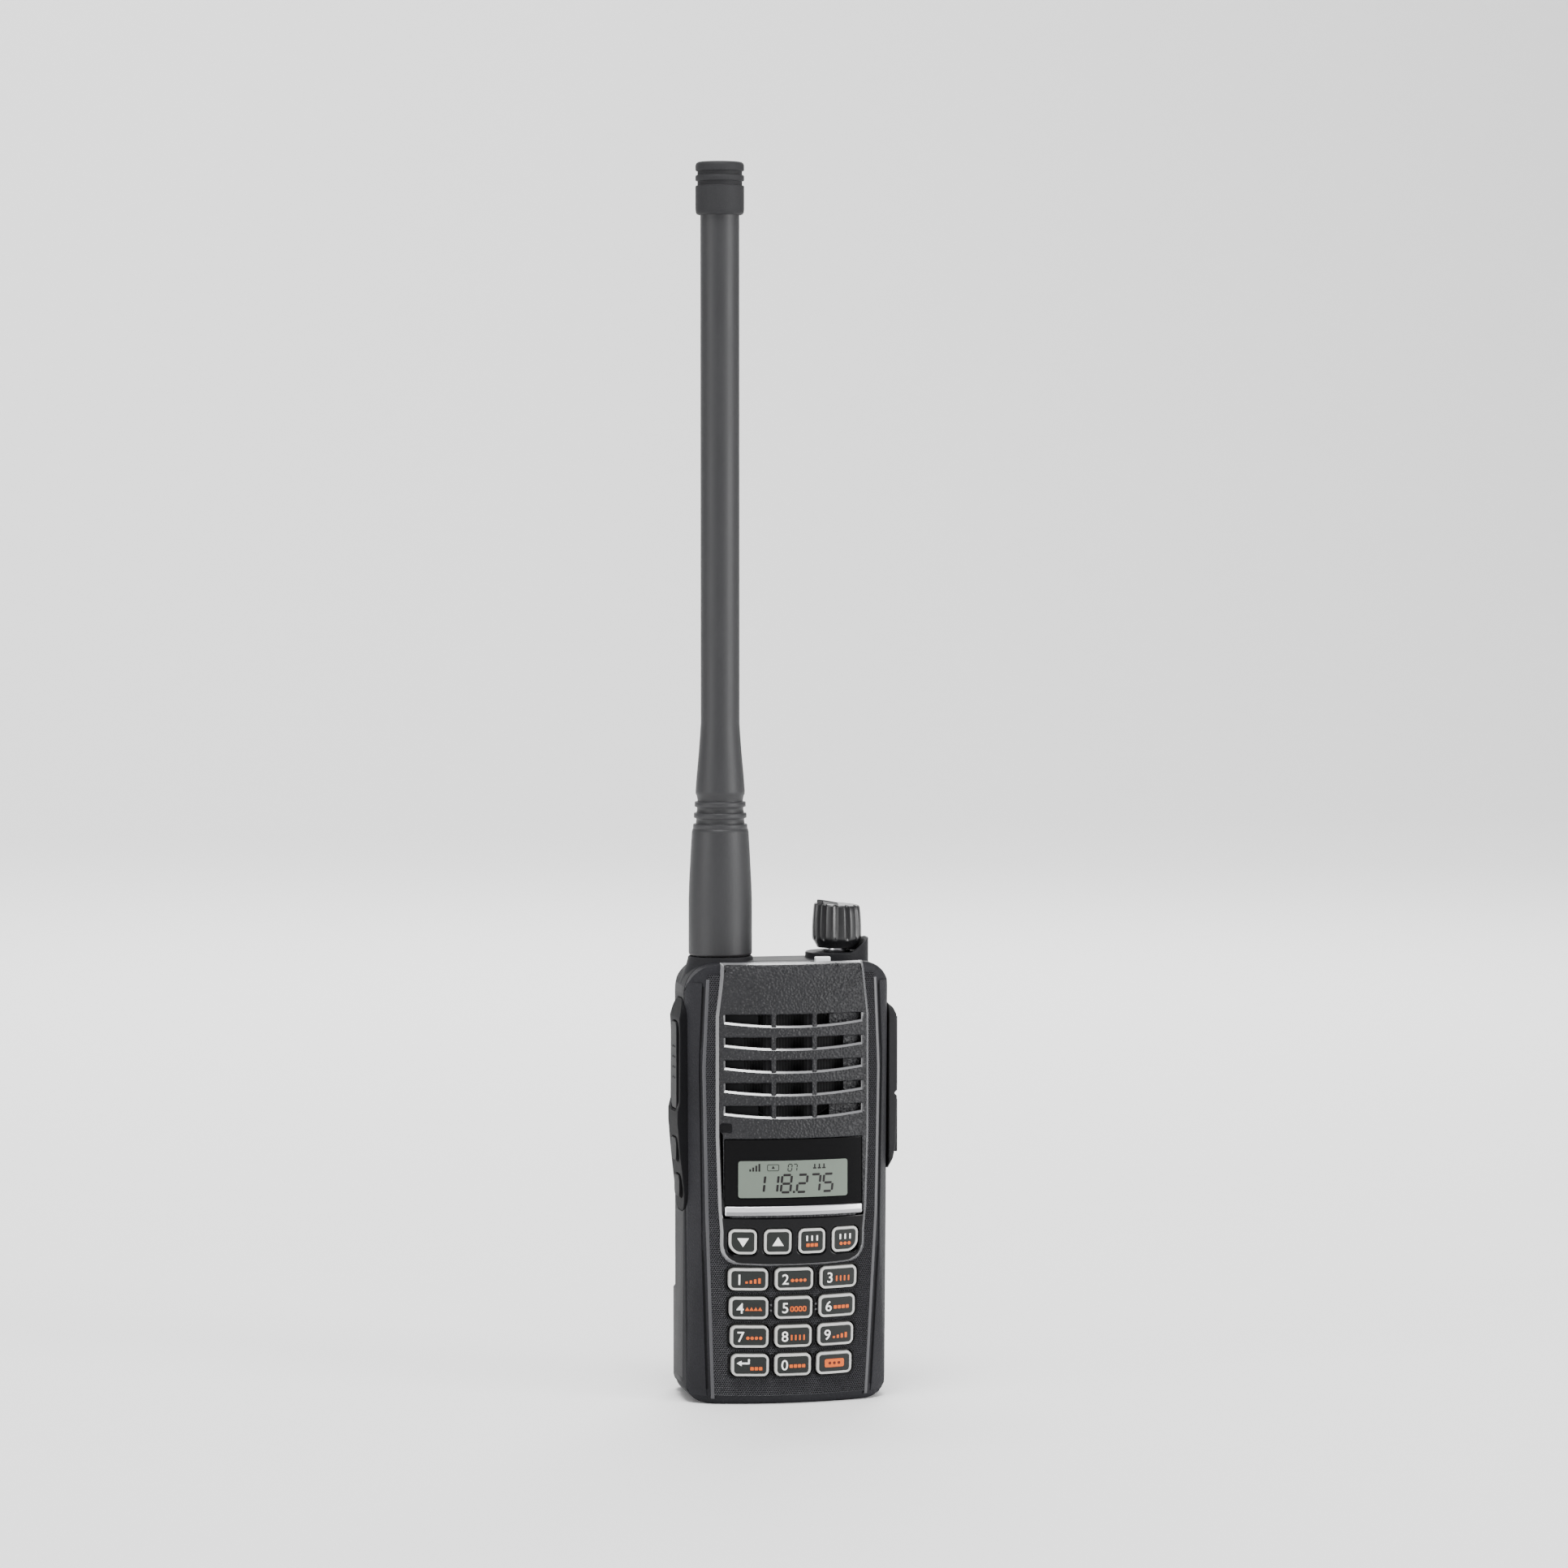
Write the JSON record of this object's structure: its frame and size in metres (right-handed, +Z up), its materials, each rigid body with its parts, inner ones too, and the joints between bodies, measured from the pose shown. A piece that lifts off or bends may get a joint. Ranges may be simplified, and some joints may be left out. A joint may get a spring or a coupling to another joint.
{
  "type": "handheld aviation radio",
  "caption": "Handheld airband radio with a long twist-off antenna, volume knob, display, keypad, side buttons, jack cover and a removable battery pack.",
  "frame": {"origin": "centre of the flat base the radio stands on", "axes": "+Z up along the antenna, -Y out of the keypad face, +X to the viewer's right"},
  "size_m": [0.057, 0.0367, 0.3107],
  "materials": {
    "case_plastic": "textured, matt",
    "panel_plastic": "leather-grained, matt",
    "bezel_gloss": "glossy black",
    "window_gloss": "glossy black with a clear middle",
    "accent_silver": "satin silver",
    "display_glass": "grey-green display",
    "light_guide": "white",
    "keypad_rubber": "silicone",
    "circuit_board": "solder mask green",
    "part_metal": "plated",
    "speaker_black": "black",
    "cloth": "black dust cloth",
    "lens_white": "milky white",
    "seal_rubber": "black silicone",
    "chassis_cast": "fine black powder coat",
    "screw_steel": "plain",
    "shield_metal": "tinned",
    "side_rubber": "matt rubber",
    "jack_metal": "nickel",
    "jack_black": "black",
    "contact_brass": "gold plated",
    "battery_plastic": "black",
    "cell_wrap": "blue sleeve",
    "button_rubber": "matt rubber",
    "knob_plastic": "black",
    "element_copper": "copper",
    "antenna_plastic": "satin dark grey",
    "antenna_tip": "slightly rough",
    "cover_rubber": "ribbed rubber",
    "function_key": "satin, printed sign",
    "number_key": "translucent pale ring round a dark face"
  },
  "bodies": {
    "body": {"front_case": "case_plastic", "front_panel": "panel_plastic", "function_bezel": "bezel_gloss", "display_window": "window_gloss", "accent_bar": "accent_silver", "lcd_glass": "display_glass", "lcd_backlight": "light_guide", "keypad_mat": "keypad_rubber", "front_board": "circuit_board", "microphone": "part_metal", "speaker": "speaker_black", "speaker_cloth": "cloth", "status_lens": "lens_white", "case_seal": "seal_rubber", "rear_chassis": "chassis_cast", "case_screws": "screw_steel", "main_board": "circuit_board", "shield_cans": "shield_metal", "side_panel": "side_rubber", "side_switches": "circuit_board", "antenna_jack": "jack_metal", "volume_control": "part_metal", "audio_jacks": "jack_black", "battery_springs": "contact_brass", "clip_inserts": "contact_brass", "latch_pin": "screw_steel"},
    "battery": {"battery_case": "battery_plastic", "battery_cover": "battery_plastic", "battery_cells": "cell_wrap", "battery_pads": "contact_brass", "charge_pads": "contact_brass"},
    "ptt_button": {"ptt_button": "button_rubber"},
    "upper_side_button": {"upper_side_button": "button_rubber"},
    "lower_side_button": {"lower_side_button": "button_rubber"},
    "volume_knob": {"knob_shaft": "screw_steel", "volume_knob": "knob_plastic"},
    "antenna_contact": {"antenna_contact": "contact_brass"},
    "antenna": {"antenna_sleeve": "jack_metal", "antenna_element": "element_copper", "antenna_whip": "antenna_plastic", "antenna_cap": "antenna_tip"},
    "jack_cover": {"jack_cover": "cover_rubber"},
    "battery_latch": {"battery_latch": "battery_plastic"},
    "key_down": {"key_down": "function_key"},
    "key_up": {"key_up": "function_key"},
    "key_memory": {"key_memory": "function_key"},
    "key_clear": {"key_clear": "function_key"},
    "key_1": {"key_1": "number_key"},
    "key_2": {"key_2": "number_key"},
    "key_3": {"key_3": "number_key"},
    "key_4": {"key_4": "number_key"},
    "key_5": {"key_5": "number_key"},
    "key_6": {"key_6": "number_key"},
    "key_7": {"key_7": "number_key"},
    "key_8": {"key_8": "number_key"},
    "key_9": {"key_9": "number_key"},
    "key_enter": {"key_enter": "number_key"},
    "key_0": {"key_0": "number_key"},
    "key_shift": {"key_shift": "number_key"}
  },
  "joints": [
    {"name": "ptt_press", "type": "slide", "parent": "body", "child": "ptt_button", "axis": [1, 0, 0], "range_m": [0, 0.0009], "stiffness_N_per_m": 1500, "springref_m": -0.001},
    {"name": "upper_side_press", "type": "slide", "parent": "body", "child": "upper_side_button", "axis": [1, 0, 0], "range_m": [0, 0.0006], "stiffness_N_per_m": 900, "springref_m": -0.001},
    {"name": "lower_side_press", "type": "slide", "parent": "body", "child": "lower_side_button", "axis": [1, 0, 0], "range_m": [0, 0.0006], "stiffness_N_per_m": 900, "springref_m": -0.001},
    {"name": "knob_turn", "type": "hinge", "parent": "body", "child": "volume_knob", "pos_m": [0.0145, 0, 0.115], "axis": [0, 0, 1], "range_deg": [-270, 0]},
    {"name": "antenna_lift", "type": "slide", "parent": "body", "child": "antenna_contact", "axis": [0, 0, 1], "range_m": [0, 0.012]},
    {"name": "antenna_twist", "type": "hinge", "parent": "antenna_contact", "child": "antenna", "pos_m": [-0.0155, 0, 0.118], "axis": [0, 0, 1], "range_deg": [0, 90]},
    {"name": "jack_cover_open", "type": "hinge", "parent": "body", "child": "jack_cover", "pos_m": [0.0264, -0.002, 0.0578], "axis": [0, 1, 0], "range_deg": [0, 105]},
    {"name": "battery_tilt", "type": "hinge", "parent": "body", "child": "battery", "pos_m": [0, 0.0073, 0.0883], "axis": [1, 0, 0], "range_deg": [0, 12]},
    {"name": "latch_flip", "type": "hinge", "parent": "body", "child": "battery_latch", "pos_m": [0, 0.0046, 0.0023], "axis": [1, 0, 0], "range_deg": [-60, 0]},
    {"name": "key_down_press", "type": "slide", "parent": "body", "child": "key_down", "axis": [0, 0.9976, 0.0698], "range_m": [0, 0.0005], "stiffness_N_per_m": 600, "springref_m": -0.001},
    {"name": "key_up_press", "type": "slide", "parent": "body", "child": "key_up", "axis": [0, 0.9976, 0.0698], "range_m": [0, 0.0005], "stiffness_N_per_m": 600, "springref_m": -0.001},
    {"name": "key_memory_press", "type": "slide", "parent": "body", "child": "key_memory", "axis": [0, 0.9976, 0.0698], "range_m": [0, 0.0005], "stiffness_N_per_m": 600, "springref_m": -0.001},
    {"name": "key_clear_press", "type": "slide", "parent": "body", "child": "key_clear", "axis": [0, 0.9976, 0.0698], "range_m": [0, 0.0005], "stiffness_N_per_m": 600, "springref_m": -0.001},
    {"name": "key_1_press", "type": "slide", "parent": "body", "child": "key_1", "axis": [0, 0.9976, 0.0698], "range_m": [0, 0.0005], "stiffness_N_per_m": 600, "springref_m": -0.001},
    {"name": "key_2_press", "type": "slide", "parent": "body", "child": "key_2", "axis": [0, 0.9976, 0.0698], "range_m": [0, 0.0005], "stiffness_N_per_m": 600, "springref_m": -0.001},
    {"name": "key_3_press", "type": "slide", "parent": "body", "child": "key_3", "axis": [0, 0.9976, 0.0698], "range_m": [0, 0.0005], "stiffness_N_per_m": 600, "springref_m": -0.001},
    {"name": "key_4_press", "type": "slide", "parent": "body", "child": "key_4", "axis": [0, 0.9976, 0.0698], "range_m": [0, 0.0005], "stiffness_N_per_m": 600, "springref_m": -0.001},
    {"name": "key_5_press", "type": "slide", "parent": "body", "child": "key_5", "axis": [0, 0.9976, 0.0698], "range_m": [0, 0.0005], "stiffness_N_per_m": 600, "springref_m": -0.001},
    {"name": "key_6_press", "type": "slide", "parent": "body", "child": "key_6", "axis": [0, 0.9976, 0.0698], "range_m": [0, 0.0005], "stiffness_N_per_m": 600, "springref_m": -0.001},
    {"name": "key_7_press", "type": "slide", "parent": "body", "child": "key_7", "axis": [0, 0.9976, 0.0698], "range_m": [0, 0.0005], "stiffness_N_per_m": 600, "springref_m": -0.001},
    {"name": "key_8_press", "type": "slide", "parent": "body", "child": "key_8", "axis": [0, 0.9976, 0.0698], "range_m": [0, 0.0005], "stiffness_N_per_m": 600, "springref_m": -0.001},
    {"name": "key_9_press", "type": "slide", "parent": "body", "child": "key_9", "axis": [0, 0.9976, 0.0698], "range_m": [0, 0.0005], "stiffness_N_per_m": 600, "springref_m": -0.001},
    {"name": "key_enter_press", "type": "slide", "parent": "body", "child": "key_enter", "axis": [0, 0.9976, 0.0698], "range_m": [0, 0.0005], "stiffness_N_per_m": 600, "springref_m": -0.001},
    {"name": "key_0_press", "type": "slide", "parent": "body", "child": "key_0", "axis": [0, 0.9976, 0.0698], "range_m": [0, 0.0005], "stiffness_N_per_m": 600, "springref_m": -0.001},
    {"name": "key_shift_press", "type": "slide", "parent": "body", "child": "key_shift", "axis": [0, 0.9976, 0.0698], "range_m": [0, 0.0005], "stiffness_N_per_m": 600, "springref_m": -0.001}
  ]
}
